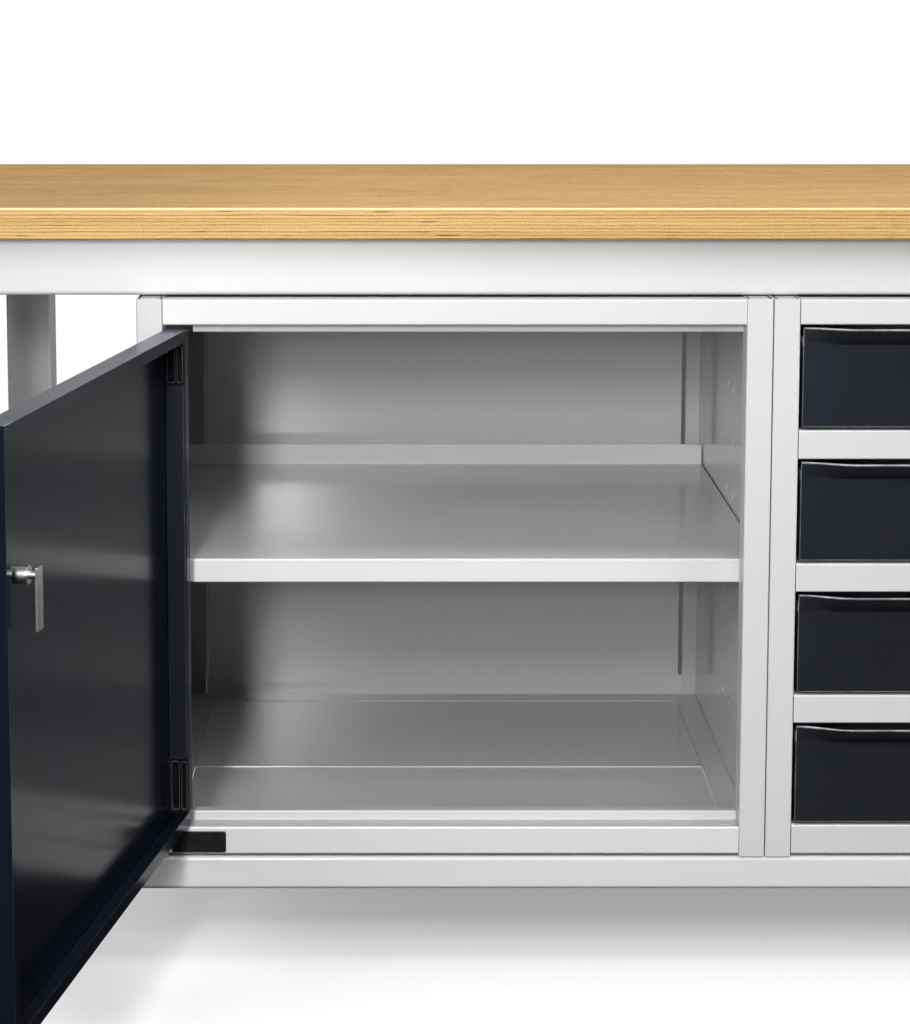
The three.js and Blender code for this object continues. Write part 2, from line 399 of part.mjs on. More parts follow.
// rails over, between and under the drawers
const rail = (z0, z1) => push(fold(yz([[22, z1 - H2], [H2, z1 - H2], [H2, z0 + H2], [22, z0 + H2]])), 'x', DL + 0.3, DR - 0.3);
part('drawer_rail_top', rail(DRAWER_TOPS[0], RAIL_TOP_Z1), LIGHT);
for (let i = 1; i < 4; i++) part(`drawer_rail_${i}`, rail(DRAWER_TOPS[i], DRAWER_TOPS[i - 1] - DRAWER_OPEN), LIGHT);
part('drawer_rail_bottom', rail(RAIL_LOW_Z0, DRAWER_TOPS[3] - DRAWER_OPEN), LIGHT);

// ------------------------------------------------------------------- drawers
// A front of folded sheet whose upper edge flares out into a full-width grip, and a tray behind it.
DRAWER_TOPS.forEach((zt, i) => {
  const x0 = DL + DRAWER_GAP, x1 = DR - DRAWER_GAP, zb = zt - DRAWER_OPEN + DRAWER_GAP, top = zt - DRAWER_GAP, t = DRAWER_T;
  const stations = [0, 13, 26, 38, 50, GRIP_RUN];
  const xs = [...stations.map((d) => x0 + d), ...stations.map((d) => x1 - d).reverse()];
  const ease = (u) => { const c = Math.min(1, Math.max(0, u)); return c * c * (3 - 2 * c); };
  const sec = xs.map((x) => {
    const p = 0.9 + GRIP_OUT * ease(Math.min(x - x0, x1 - x) / GRIP_RUN);
    const f = FRONT_Y + 0.6;
    const line = [[f + 20, zb + t / 2], [f + t / 2, zb + t / 2], [f + t / 2, top - GRIP_H], [f + t / 2 - 0.32 * p, top - GRIP_H + 5], [f + t / 2 - 0.74 * p, top - GRIP_H + 10.5], [f + t / 2 - p, top]];
    return mitre(line, t).map(([y, z]) => [x, y, z]);
  });
  const cheek = (a) => block(a + 0.15, a + t, FRONT_Y + 1.35, FRONT_Y + 20.5, zb + 0.75, top - GRIP_H - 3);
  part(`drawer_front_${i + 1}`, join(loft(sec), cheek(x0), cheek(x1 - t - 0.15)), DARK);

  const tx0 = DL + TRAY_SIDE, tx1 = DR - TRAY_SIDE, ty0 = FRONT_Y + 20.8, ty1 = ty0 + TRAY_D, tz0 = zt - DRAWER_OPEN + 7.3, tz1 = tz0 + TRAY_H;
  const s = 1.2;
  part(`drawer_tray_${i + 1}`, less(block(tx0, tx1, ty0, ty1, tz0, tz1), block(tx0 + s, tx1 - s, ty0 + s, ty1 - s, tz0 + s, tz1 + 5)), GREY);
});

bench.position.z = -BENCH_H;
const root = new THREE.Group();
root.add(bench);
export default root;
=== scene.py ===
import json
import math

import bmesh
import bpy
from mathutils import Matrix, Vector


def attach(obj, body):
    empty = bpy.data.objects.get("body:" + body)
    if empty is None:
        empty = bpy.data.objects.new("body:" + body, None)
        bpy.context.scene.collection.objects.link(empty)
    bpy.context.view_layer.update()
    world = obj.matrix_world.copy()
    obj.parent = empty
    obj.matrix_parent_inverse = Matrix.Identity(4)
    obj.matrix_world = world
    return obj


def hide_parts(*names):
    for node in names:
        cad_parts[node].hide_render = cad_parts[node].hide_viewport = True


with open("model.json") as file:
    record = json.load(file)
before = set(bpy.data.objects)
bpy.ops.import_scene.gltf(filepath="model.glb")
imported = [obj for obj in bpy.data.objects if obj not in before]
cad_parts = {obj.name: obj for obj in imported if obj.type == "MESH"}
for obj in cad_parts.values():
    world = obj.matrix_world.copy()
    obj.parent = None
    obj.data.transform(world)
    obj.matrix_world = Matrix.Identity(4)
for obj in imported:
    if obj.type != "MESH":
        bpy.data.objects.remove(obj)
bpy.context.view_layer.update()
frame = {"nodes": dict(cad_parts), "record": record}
nodes = frame["nodes"]
body_of = {n: b for b, ns in frame["record"]["behaviour"]["bodies"].items() for n in ns}
scene = bpy.context.scene
FLOOR = -0.88


# ------------------------------------------------------------------ node helpers
class Shader:
    """A node material with a Principled shader and object coordinates."""

    def __init__(self, name):
        self.mat = bpy.data.materials.new(name)
        self.mat.use_nodes = True
        self.tree = self.mat.node_tree
        self.tree.nodes.clear()
        self.out = self.node("ShaderNodeOutputMaterial")
        self.bsdf = self.node("ShaderNodeBsdfPrincipled")
        self.link(self.bsdf.outputs[0], self.out.inputs[0])
        self.co = self.node("ShaderNodeTexCoord").outputs["Object"]

    def node(self, kind):
        return self.tree.nodes.new(kind)

    def link(self, a, b):
        self.tree.links.new(a, b)

    def put(self, value, socket):
        if isinstance(value, bpy.types.NodeSocket):
            self.link(value, socket)
        else:
            socket.default_value = value

    def scaled(self, x, y, z, shift=(0, 0, 0)):
        n = self.node("ShaderNodeMapping")
        n.inputs["Scale"].default_value = (x, y, z)
        n.inputs["Location"].default_value = shift
        self.link(self.co, n.inputs["Vector"])
        return n.outputs[0]

    def noise(self, vec=None, scale=1.0, detail=2.0, rough=0.5, warp=0.0):
        n = self.node("ShaderNodeTexNoise")
        self.link(vec or self.co, n.inputs["Vector"])
        n.inputs["Scale"].default_value = scale
        n.inputs["Detail"].default_value = detail
        n.inputs["Roughness"].default_value = rough
        n.inputs["Distortion"].default_value = warp
        return n.outputs["Fac"]

    def math(self, op, a, b=0.0, c=0.0, clamp=False):
        n = self.node("ShaderNodeMath")
        n.operation = op
        n.use_clamp = clamp
        for v, s in zip((a, b, c), n.inputs):
            self.put(v, s)
        return n.outputs[0]

    def fit(self, value, a, b, c=0.0, d=1.0, smooth=False):
        n = self.node("ShaderNodeMapRange")
        n.interpolation_type = "SMOOTHSTEP" if smooth else "LINEAR"
        self.put(value, n.inputs["Value"])
        for k, v in zip(("From Min", "From Max", "To Min", "To Max"), (a, b, c, d)):
            n.inputs[k].default_value = v
        return n.outputs["Result"]

    def ramp(self, fac, stops):
        n = self.node("ShaderNodeValToRGB")
        e = n.color_ramp.elements
        while len(e) < len(stops):
            e.new(0.5)
        for el, (p, c) in zip(e, stops):
            el.position = p
            el.color = (*c, 1)
        self.link(fac, n.inputs[0])
        return n.outputs[0]

    def mix(self, fac, a, b, blend="MIX"):
        n = self.node("ShaderNodeMix")
        n.data_type = "RGBA"
        n.blend_type = blend
        self.put(fac, n.inputs[0])
        for v, s in ((a, n.inputs[6]), (b, n.inputs[7])):
            self.put(v if isinstance(v, bpy.types.NodeSocket) else (*v, 1), s)
        return n.outputs[2]

    def xyz(self):
        n = self.node("ShaderNodeSeparateXYZ")
        self.link(self.co, n.inputs[0])
        return n.outputs

    def bundle(self, x, y, z):
        n = self.node("ShaderNodeCombineXYZ")
        for v, s in zip((x, y, z), n.inputs):
            self.put(v, s)
        return n.outputs[0]

    def bump(self, height, strength, distance):
        n = self.node("ShaderNodeBump")
        n.inputs["Strength"].default_value = strength
        n.inputs["Distance"].default_value = distance
        self.link(height, n.inputs["Height"])
        self.link(n.outputs[0], self.bsdf.inputs["Normal"])

    def set(self, **kw):
        for k, v in kw.items():
            s = self.bsdf.inputs[k.replace("_", " ")]
            if isinstance(v, tuple):
                v = (*v, 1)
            self.put(v, s)


def powder(name, low, high, rough, peel, spread=0.05):
    """Powder coat: a cloudy base, orange peel and a slightly uneven gloss."""
    m = Shader(name)
    cloud = m.noise(scale=2.4, detail=3)
    m.set(Base_Color=m.mix(m.fit(cloud, 0.3, 0.7), low, high))
    wave = m.noise(scale=380, detail=2, rough=0.55)
    grit = m.noise(scale=1500, detail=1)
    m.bump(m.math("ADD", wave, m.math("MULTIPLY", grit, 0.35)), peel, 0.0004)
    m.set(Roughness=m.fit(m.noise(scale=7, detail=3), 0.3, 0.7, rough - spread, rough + spread))
    return m.mat


def rim(name, low, high, rough):
    """The same coat paler over a folded edge: partly the coat worn thin and unevenly rubbed, partly a painted highlight
    along the edge.
    """
    m = Shader(name)
    rub = m.noise(scale=22, detail=4, rough=0.65)
    m.set(Base_Color=m.mix(m.fit(rub, 0.38, 0.66, smooth=True), low, high))
    m.set(Roughness=m.fit(rub, 0.3, 0.7, rough - 0.04, rough + 0.10))
    m.bump(m.noise(scale=620, detail=2), 0.05, 0.0003)
    return m.mat


def plywood_face():
    m = Shader("plywood_face")
    x, y, z = m.xyz()
    broad = m.noise(m.scaled(1.1, 3.0, 1), 1, 3, 0.5, 0.3)
    band = m.noise(m.scaled(0.9, 17, 1), 1, 4, 0.6, 0.6)
    streak = m.noise(m.scaled(6, 60, 1), 1, 4, 0.65, 0.3)
    fleck = m.noise(m.scaled(17, 80, 1), 1, 4, 0.72)
    speck = m.noise(m.scaled(120, 70, 1), 1, 3, 0.72)
    fine = m.noise(m.scaled(26, 620, 1), 1, 3, 0.6)
    pore = m.noise(m.scaled(42, 1500, 1), 1, 2, 0.6)
    tone = m.math("ADD", m.math("MULTIPLY", band, 0.26), m.math("MULTIPLY", streak, 0.32))
    tone = m.math("ADD", tone, m.math("MULTIPLY", fleck, 0.30))
    tone = m.math("ADD", tone, m.math("MULTIPLY", fine, 0.12))
    col = m.ramp(tone, [(0.36, (0.345, 0.196, 0.076)), (0.45, (0.470, 0.288, 0.121)), (0.52, (0.540, 0.342, 0.150)), (0.60, (0.595, 0.392, 0.180)), (0.68, (0.630, 0.428, 0.205))])
    line = m.fit(m.noise(m.scaled(7, 75, 1), 1, 3, 0.6, 0.4), 0.58, 0.68, 0, 0.50, True)
    col = m.mix(line, col, (0.30, 0.155, 0.055))
    dash = m.fit(pore, 0.60, 0.70, 0, 0.5, True)
    col = m.mix(dash, col, (0.31, 0.170, 0.068))
    # the face is made darker toward its left end, a painted shade; the broad and speckled tone on top of it is the
    # wood's own
    left = m.fit(x, -0.80, -0.45, 0.74, 0.86, True)
    painted_shade_and_tone = m.math("MULTIPLY", left, m.fit(broad, 0.3, 0.7, 0.93, 1.05))
    painted_shade_and_tone = m.math("MULTIPLY", painted_shade_and_tone, m.fit(speck, 0.3, 0.7, 0.87, 1.13))
    col = m.mix(1.0, col, m.bundle(painted_shade_and_tone, painted_shade_and_tone, painted_shade_and_tone), "MULTIPLY")
    m.set(Base_Color=col, Roughness=m.fit(tone, 0.35, 0.65, 0.62, 0.52))
    m.bsdf.inputs["Specular IOR Level"].default_value = 0.3
    m.bump(m.math("SUBTRACT", m.math("MULTIPLY", fine, 0.5), m.math("ADD", dash, line)), 0.16, 0.0004)
    return m.mat


def plywood_edge():
    m = Shader("plywood_edge")
    x, y, z = m.xyz()
    along = m.math("ADD", x, y)
    drift = m.noise(m.bundle(m.math("MULTIPLY", along, 4.5), 0.0, m.math("MULTIPLY", z, 60.0)), 1, 4, 0.6)
    ply = m.math("ADD", m.math("MULTIPLY", m.math("ADD", z, 0.036), 19 / 2 / 0.036), m.math("MULTIPLY", m.math("SUBTRACT", drift, 0.5), 1.15))
    pair = m.math("FLOOR", ply)
    u = m.math("SUBTRACT", ply, pair)
    lined = m.math("ABSOLUTE", m.math("SUBTRACT", u, 0.3))
    core = m.fit(lined, 0.08, 0.23, 1, 0, True)
    var = m.noise(m.bundle(m.math("MULTIPLY", along, 8.5), m.math("MULTIPLY", pair, 7.7), 0.0), 1, 4, 0.65)
    slow = m.noise(m.bundle(m.math("MULTIPLY", along, 1.1), m.math("MULTIPLY", pair, 3.1), 4.0), 1, 2)
    grain = m.noise(m.bundle(m.math("MULTIPLY", along, 60.0), m.math("MULTIPLY", z, 1500.0), 0.0), 1, 3, 0.65)
    end = m.noise(m.bundle(m.math("MULTIPLY", along, 420.0), m.math("MULTIPLY", z, 500.0), 0.0), 1, 3, 0.7)
    light = m.ramp(m.math("ADD", m.math("MULTIPLY", grain, 0.55), m.math("MULTIPLY", slow, 0.45)), [(0.34, (0.430, 0.245, 0.088)), (0.47, (0.560, 0.355, 0.137)), (0.62, (0.650, 0.435, 0.185))])
    dark = m.ramp(m.math("ADD", m.math("MULTIPLY", end, 0.45), m.math("MULTIPLY", var, 0.55)), [(0.36, (0.090, 0.030, 0.005)), (0.5, (0.165, 0.063, 0.012)), (0.62, (0.255, 0.108, 0.025))])
    weight = m.math("MULTIPLY", m.fit(var, 0.36, 0.62, 1.0, 0.50), m.fit(slow, 0.32, 0.62, 1.0, 0.80))
    part = m.ramp(m.math("DIVIDE", pair, 10.0), [(k / 10, (v, v, v)) for k, v in enumerate((1.0, 0.55, 0.95, 0.45, 0.85, 0.40, 0.75, 1.0, 0.35, 0.30))])
    col = m.mix(m.math("MULTIPLY", core, m.math("MULTIPLY", weight, part)), light, dark)
    gap = m.math("MULTIPLY", m.fit(lined, 0.07, 0.17, 1, 0, True), m.fit(m.noise(m.bundle(m.math("MULTIPLY", along, 9.0), m.math("MULTIPLY", pair, 11.3), 9.0), 1, 2, 0.5), 0.65, 0.68))
    col = m.mix(gap, col, (0.050, 0.019, 0.005))
    speck = m.fit(end, 0.3, 0.7, 0.77, 1.07)
    col = m.mix(1.0, col, m.bundle(speck, speck, speck), "MULTIPLY")
    m.set(Base_Color=col, Roughness=m.fit(grain, 0.3, 0.7, 0.55, 0.68))
    m.bsdf.inputs["Specular IOR Level"].default_value = 0.1
    m.bump(m.math("SUBTRACT", m.math("MULTIPLY", grain, 0.3), m.math("ADD", m.math("MULTIPLY", core, 0.5), gap)), 0.25, 0.0004)
    return m.mat


def plywood_arris():
    """The sanded round along the worktop's edges: pale sanded wood, made paler still as a painted highlight."""
    m = Shader("plywood_arris")
    x, y, z = m.xyz()
    along = m.math("ADD", x, y)
    grain = m.noise(m.bundle(m.math("MULTIPLY", along, 24.0), m.math("MULTIPLY", z, 1400.0), 0.0), 1, 3, 0.6)
    m.set(Base_Color=m.ramp(grain, [(0.32, (0.63, 0.420, 0.195)), (0.52, (0.76, 0.535, 0.268)), (0.7, (0.82, 0.605, 0.330))]))
    m.set(Roughness=m.fit(grain, 0.3, 0.7, 0.42, 0.52))
    m.bump(grain, 0.10, 0.0003)
    return m.mat


def moulded(name, low, high, rough, grain=900, strength=0.12):
    m = Shader(name)
    m.set(Base_Color=m.mix(m.fit(m.noise(scale=30, detail=2), 0.3, 0.7), low, high))
    m.bump(m.noise(scale=grain, detail=2, rough=0.6), strength, 0.0003)
    m.set(Roughness=m.fit(m.noise(scale=70, detail=2), 0.3, 0.7, rough - 0.05, rough + 0.05))
    return m.mat


def zinc():
    m = Shader("zinc_plate")
    cloud = m.noise(scale=60, detail=3)
    m.set(Base_Color=m.ramp(cloud, [(0.3, (0.50, 0.51, 0.52)), (0.7, (0.66, 0.67, 0.68))]))
    m.bsdf.inputs["Metallic"].default_value = 1.0
    brushed = m.noise(m.scaled(300, 300, 2600), 1, 2)
    m.set(Roughness=m.fit(brushed, 0.3, 0.7, 0.26, 0.40))
    m.bump(brushed, 0.06, 0.0002)
    return m.mat


LIGHT = powder("light_grey_coat", (0.588, 0.588, 0.588), (0.614, 0.614, 0.614), 0.32, 0.022, 0.030)
# FRONT_LIT: a lighter copy of the light grey coat, painted light on the lower beams, the bottom rail's front and the
# shelf's front lip
FRONT_LIT = powder("front_painted_light", (0.656, 0.656, 0.656), (0.682, 0.682, 0.682), 0.32, 0.022, 0.030)
# SHADE: a darker copy of the light grey coat, painted shade for the dark back-left corner of the cabinet
SHADE = powder("left_wall_painted_shade", (0.285, 0.285, 0.286), (0.303, 0.303, 0.304), 0.18, 0.012, 0.010)
# WALL_SHADE, INNER_SHADE and BACK_SHADE: darker and slightly darker copies of the light grey coat, painted shade used
# mostly on the surfaces inside the cabinet and the drawer unit
WALL_SHADE = powder("wall_painted_shade", (0.523, 0.523, 0.523), (0.545, 0.545, 0.545), 0.09, 0.005, 0.008)
INNER_SHADE = powder("inner_painted_shade", (0.510, 0.510, 0.510), (0.530, 0.530, 0.530), 0.15, 0.010, 0.010)
INNER_SHADE.node_tree.nodes["Principled BSDF"].inputs["Specular IOR Level"].default_value = 0.36
BACK_SHADE = powder("back_painted_shade", (0.574, 0.574, 0.574), (0.596, 0.596, 0.596), 0.17, 0.012, 0.010)
# DOOR_SHADE and CHANNEL_SHADE: darker copies of the blue-black coat on the door's inside and its channel, painted shade
DOOR_SHADE = powder("door_painted_shade", (0.0044, 0.0056, 0.0106), (0.0058, 0.0072, 0.0132), 0.175, 0.012, 0.010)
CHANNEL_SHADE = powder("channel_painted_shade", (0.0085, 0.0098, 0.0130), (0.0100, 0.0114, 0.0148), 0.32, 0.012, 0.010)
DARK = powder("drawer_coat", (0.0124, 0.0138, 0.0182), (0.0148, 0.0164, 0.0212), 0.32, 0.020, 0.020)
for coat, level in ((DOOR_SHADE, 0.12), (CHANNEL_SHADE, 0.22), (DARK, 0.45)):
    shader = coat.node_tree.nodes["Principled BSDF"]
    shader.inputs["Specular IOR Level"].default_value = level
    shader.inputs["Specular Tint"].default_value = (0.76, 0.85, 1.0, 1)
LIGHT_RIM = rim("light_grey_rim", (0.62, 0.62, 0.625), (0.72, 0.72, 0.725), 0.34)
INNER_RIM = rim("inner_grey_rim", (0.50, 0.50, 0.505), (0.60, 0.60, 0.605), 0.33)
# FLANGE_SHEEN: a paler, bluer copy of the door coat, a painted sheen for the grazing reflection on the door's upper
# flange
FLANGE_SHEEN = powder("door_flange_painted_sheen", (0.046, 0.054, 0.074), (0.055, 0.064, 0.086), 0.33, 0.020, 0.020)
FLANGE_SHEEN.node_tree.nodes["Principled BSDF"].inputs["Specular IOR Level"].default_value = 0.15
# CHANNEL_HIGHLIGHT: a paler edge colour on the channel, a painted highlight along its folds
CHANNEL_HIGHLIGHT = rim("channel_painted_highlight", (0.020, 0.023, 0.029), (0.044, 0.049, 0.058), 0.38)
CHANNEL_HIGHLIGHT.node_tree.nodes["Principled BSDF"].inputs["Specular IOR Level"].default_value = 0.2
# DRAWER_HIGHLIGHT: a pale edge colour on the blue-black coat, painted highlight lines along the drawer fronts' and
# door's folds
DRAWER_HIGHLIGHT = rim("drawer_painted_highlight", (0.070, 0.075, 0.086), (0.130, 0.137, 0.152), 0.33)
# HINGE_GLINT: a pale edge colour on the black steel, painted glints along the hinge plates' edges
HINGE_GLINT = rim("hinge_painted_glint", (0.022, 0.024, 0.028), (0.060, 0.064, 0.071), 0.36)
# SHELF_HIGHLIGHT: a colour paler than the coat, painted highlight lines along the shelf's edges and upstand
SHELF_HIGHLIGHT = rim("shelf_painted_highlight", (0.72, 0.72, 0.725), (0.84, 0.84, 0.845), 0.33)
# LEDGE_SHADE: a much darker copy of the light grey coat, painted shade on the bottom rail's ledge
LEDGE_SHADE = powder("ledge_painted_shade", (0.330, 0.330, 0.330), (0.350, 0.350, 0.350), 0.33, 0.020, 0.020)
# POST_SHADE: a darker copy of the light grey coat over the whole left side, painted shade to hold down the left post
# where the near lamp lights it strongly
POST_SHADE = powder("post_painted_shade", (0.494, 0.494, 0.494), (0.517, 0.517, 0.517), 0.32, 0.022, 0.030)
# DARK_HIGHLIGHT: a pale edge colour on the blue-black door, painted highlight along its edges
DARK_HIGHLIGHT = rim("blue_black_painted_highlight", (0.030, 0.034, 0.042), (0.075, 0.080, 0.092), 0.34)
# GRIP_HIGHLIGHT: a pale colour on the grip's rolled edge, a painted highlight
GRIP_HIGHLIGHT = rim("grip_painted_highlight", (0.12, 0.125, 0.135), (0.30, 0.305, 0.315), 0.20)
BLACK_RIM = rim("black_rim", (0.018, 0.019, 0.021), (0.060, 0.062, 0.066), 0.34)
BLACK = moulded("black_satin", (0.006, 0.006, 0.0065), (0.010, 0.010, 0.011), 0.36, 700, 0.10)
RUBBER = moulded("black_foot", (0.012, 0.012, 0.012), (0.020, 0.020, 0.020), 0.55, 500, 0.25)
STEEL = moulded("black_steel", (0.0028, 0.0032, 0.0038), (0.0050, 0.0055, 0.0062), 0.42, 1200, 0.08)
STEEL.node_tree.nodes["Principled BSDF"].inputs["Specular IOR Level"].default_value = 0.06
ZINC = zinc()
FACE, EDGE, ARRIS = plywood_face(), plywood_edge(), plywood_arris()


# ------------------------------------------------------------------ skins on the frame
def look(name):
    """(materials, record slot, edge round in metres, segments) for a node; the second material lies on the edges."""
    if name == "worktop":
        return [FACE, EDGE, ARRIS], "plywood", 0.0014, 3
    if name == "door_panel":
        return [DOOR_SHADE, DARK_HIGHLIGHT, FLANGE_SHEEN, DARK], "dark_paint", 0.0006, 3
    if name == "door_stiffener":
        return [CHANNEL_SHADE, CHANNEL_HIGHLIGHT], "dark_paint", 0.0008, 3
    if name.startswith("drawer_front"):
        return [DARK, DRAWER_HIGHLIGHT], "dark_paint", 0.0012, 3
    if name.startswith("foot_"):
        return [RUBBER, RUBBER], "black_plastic", 0.0007, 2
    if name == "door_handle":
        return [BLACK, BLACK], "black_plastic", 0.0016, 3
    if name == "name_plate_blank":
        return [BLACK, BLACK_RIM], "black_plastic", 0.0004, 3
    if name.startswith("hinge_"):
        return [STEEL, HINGE_GLINT], "black_steel", 0.0008, 2
    if name.startswith(("lock_", "shelf_clip")):
        return [ZINC, ZINC], "zinc", 0.0003, 2
    if name == "cabinet_rail_bottom":
        return [FRONT_LIT, LIGHT_RIM, LIGHT, LEDGE_SHADE], "light_paint", 0.0005, 2
    if name.startswith("lower_"):
        return [FRONT_LIT, LIGHT_RIM], "light_paint", 0.0007, 2
    if name.startswith(("leg_", "top_beam", "top_cross")):
        return [LIGHT, LIGHT_RIM], "light_paint", 0.0008, 2
    if name == "shelf":
        return [INNER_SHADE, SHELF_HIGHLIGHT, FRONT_LIT], "light_paint", 0.0007, 3
    if name == "cabinet_back":
        return [BACK_SHADE, INNER_RIM], "light_paint", 0.0003, 2
    if name.startswith(("cabinet_top", "cabinet_base", "cabinet_floor", "drawer_tray", "drawer_unit_back", "drawer_unit_top", "drawer_unit_bottom")):
        return [INNER_SHADE, INNER_RIM], "light_paint", 0.0003, 2
    if name.startswith("cabinet_side"):
        return [POST_SHADE, LIGHT_RIM, SHADE] if name.endswith("left") else [LIGHT, LIGHT_RIM, WALL_SHADE], "light_paint", 0.0004, 2
    return [LIGHT, LIGHT_RIM], "light_paint", 0.0004, 2


def skin(name):
    """A rounded copy of a CAD node, with the facets of flat faces joined, in the node's place."""
    mats, slot, width, segs = look(name)
    bm = bmesh.new()
    bm.from_mesh(nodes[name].data)
    bmesh.ops.remove_doubles(bm, verts=bm.verts, dist=2e-6)
    bmesh.ops.dissolve_limit(bm, angle_limit=math.radians(0.4), use_dissolve_boundaries=False, verts=bm.verts, edges=bm.edges)
    me = bpy.data.meshes.new(name + "_skin")
    bm.to_mesh(me)
    bm.free()
    ob = bpy.data.objects.new(name + "_skin", me)
    scene.collection.objects.link(ob)
    for m in mats:
        me.materials.append(m)
    for p in me.polygons:
        p.use_smooth = True
        p.material_index = 0
    mod = ob.modifiers.new("round", "BEVEL")
    mod.width, mod.segments, mod.limit_method = width, segs, "ANGLE"
    mod.angle_limit = math.radians(38)
    mod.use_clamp_overlap = True
    mod.miter_outer = "MITER_ARC"
    # bevelled faces take the second material; on painted parts it is a paler edge colour, partly wear and partly
    # painted highlight
    mod.material = 1
    wn = ob.modifiers.new("normals", "WEIGHTED_NORMAL")
    wn.weight = 80
    dg = bpy.context.evaluated_depsgraph_get()
    made = bpy.data.meshes.new_from_object(ob.evaluated_get(dg), preserve_all_data_layers=True, depsgraph=dg)
    ob.modifiers.clear()
    ob.data = made
    if name == "worktop":
        for p in made.polygons:
            p.material_index = 0 if abs(p.normal.z) > 0.9 else 2 if p.normal.z > 0.25 else 1
    elif name == "door_panel":
        top = max(v.co.z for v in made.vertices)
        for p in made.polygons:
            # the upper flange takes the painted sheen colour; the outer face takes the drawers' blue-black coat
            if p.normal.z > 0.9 and p.center.z > top - 0.004:
                p.material_index = 2
            elif p.normal.x < -0.9:
                p.material_index = 3
    elif name == "shelf":
        for p in made.polygons:
            # the shelf's front lip takes the lighter painted-light copy of the coat
            if p.normal.y < -0.9:
                p.material_index = 2
    elif name.startswith("cabinet_side"):
        # inner and rear-facing faces of a side wall take its third material, a darker painted-shade copy of the coat
        inward = 1 if name.endswith("left") else -1
        for p in made.polygons:
            if p.material_index == 0 and p.normal.x * inward > -0.9 and (p.normal.x * inward > 0.9 or p.center.y > 0) and p.center.y > -0.327:
                p.material_index = 2
    elif name == "cabinet_rail_bottom":
        for p in made.polygons:
            # behind the rail's front, the riser takes the plain coat and the ledge the darker painted-shade copy
            if p.center.y > -0.358:
                p.material_index = 2 if p.normal.y < -0.9 else 3
    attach(ob, body_of[name])
    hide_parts(name)
    return ob


skins = {name: skin(name) for name in sorted(nodes)}


# ------------------------------------------------------------------ small details
def add_mesh(name, verts, faces, mat, body, slot):
    me = bpy.data.meshes.new(name)
    me.from_pydata(verts, [], faces)
    me.materials.append(mat)
    for p in me.polygons:
        p.use_smooth = True
    ob = bpy.data.objects.new(name, me)
    scene.collection.objects.link(ob)
    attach(ob, body)
    return ob


def tube(path, r, sides=10):
    """Vertices and faces of a round bead along points that run mainly in x."""
    verts, faces, n = [], [], sides
    for x, y, z in path:
        for k in range(n):
            a = 2 * math.pi * k / n
            verts.append((x, y + r * math.cos(a), z + r * math.sin(a)))
    for i in range(len(path) - 1):
        for k in range(n):
            a, b = i * n + k, i * n + (k + 1) % n
            faces.append((a, b, b + n, a + n))
    faces += [tuple(range(n))[::-1], tuple(range((len(path) - 1) * n, len(path) * n))]
    return verts, faces


def grip_hem(i):
    """The rolled upper edge of a drawer's grip, along the edge of the folded front, in a pale colour that paints the
    highlight along it.
    """
    name = f"drawer_front_{i}"
    co = [v.co for v in nodes[name].data.vertices]
    top = max(v.z for v in co)
    at = {}
    for v in co:
        if v.z > top - 0.0016:
            at.setdefault(round(v.x, 4), []).append(v)
    path = [(x, sum(v.y for v in vs) / len(vs), sum(v.z for v in vs) / len(vs) - 0.0006) for x, vs in sorted(at.items())]
    path[0] = (path[0][0] + 0.0005, *path[0][1:])
    path[-1] = (path[-1][0] - 0.0005, *path[-1][1:])
    fine = []
    for (p, q) in zip(path, path[1:]):
        steps = max(1, int((q[0] - p[0]) / 0.02))
        fine += [tuple(a + (b - a) * k / steps for a, b in zip(p, q)) for k in range(steps)]
    add_mesh(f"grip_hem_{i}", *tube(fine + [path[-1]], 0.0013), GRIP_HIGHLIGHT, body_of[name], "dark_paint")


def weld_mark(k, x, z):
    """The faint raised ring of a spot weld on the front of a post."""
    y = -0.363
    prof = [(0.0001, 0.00006), (0.0016, 0.00008), (0.0022, 0.00018), (0.0027, 0.00020), (0.0033, 0.00002)]
    n, verts, faces = 28, [], []
    for r, h in prof:
        verts += [(x + r * math.cos(2 * math.pi * j / n), y - h, z + r * math.sin(2 * math.pi * j / n)) for j in range(n)]
    for i in range(len(prof) - 1):
        for j in range(n):
            a, b = i * n + j, i * n + (j + 1) % n
            faces.append((a, a + n, b + n, b))
    faces.append(tuple(range(n)))
    # the left post's weld marks take the same painted-shade copy as the post
    add_mesh(f"weld_mark_{k}", verts, faces, POST_SHADE if x < -0.5 else LIGHT, "bench", "light_paint")


def bead(path, r, sides=8):
    """Vertices and faces of a round bead along points in a plane of constant y."""
    verts, faces, n = [], [], sides
    for i, (x, y, z) in enumerate(path):
        a, b = path[max(i - 1, 0)], path[min(i + 1, len(path) - 1)]
        tx, tz = b[0] - a[0], b[2] - a[2]
        length = math.hypot(tx, tz)
        nx, nz = -tz / length, tx / length
        for k in range(n):
            t = 2 * math.pi * k / n
            verts.append((x + r * math.cos(t) * nx, y + r * math.sin(t), z + r * math.cos(t) * nz))
    for i in range(len(path) - 1):
        for k in range(n):
            a, b = i * n + k, i * n + (k + 1) % n
            faces.append((a, b, b + n, a + n))
    faces += [tuple(range(n))[::-1], tuple(range((len(path) - 1) * n, len(path) * n))]
    return verts, faces


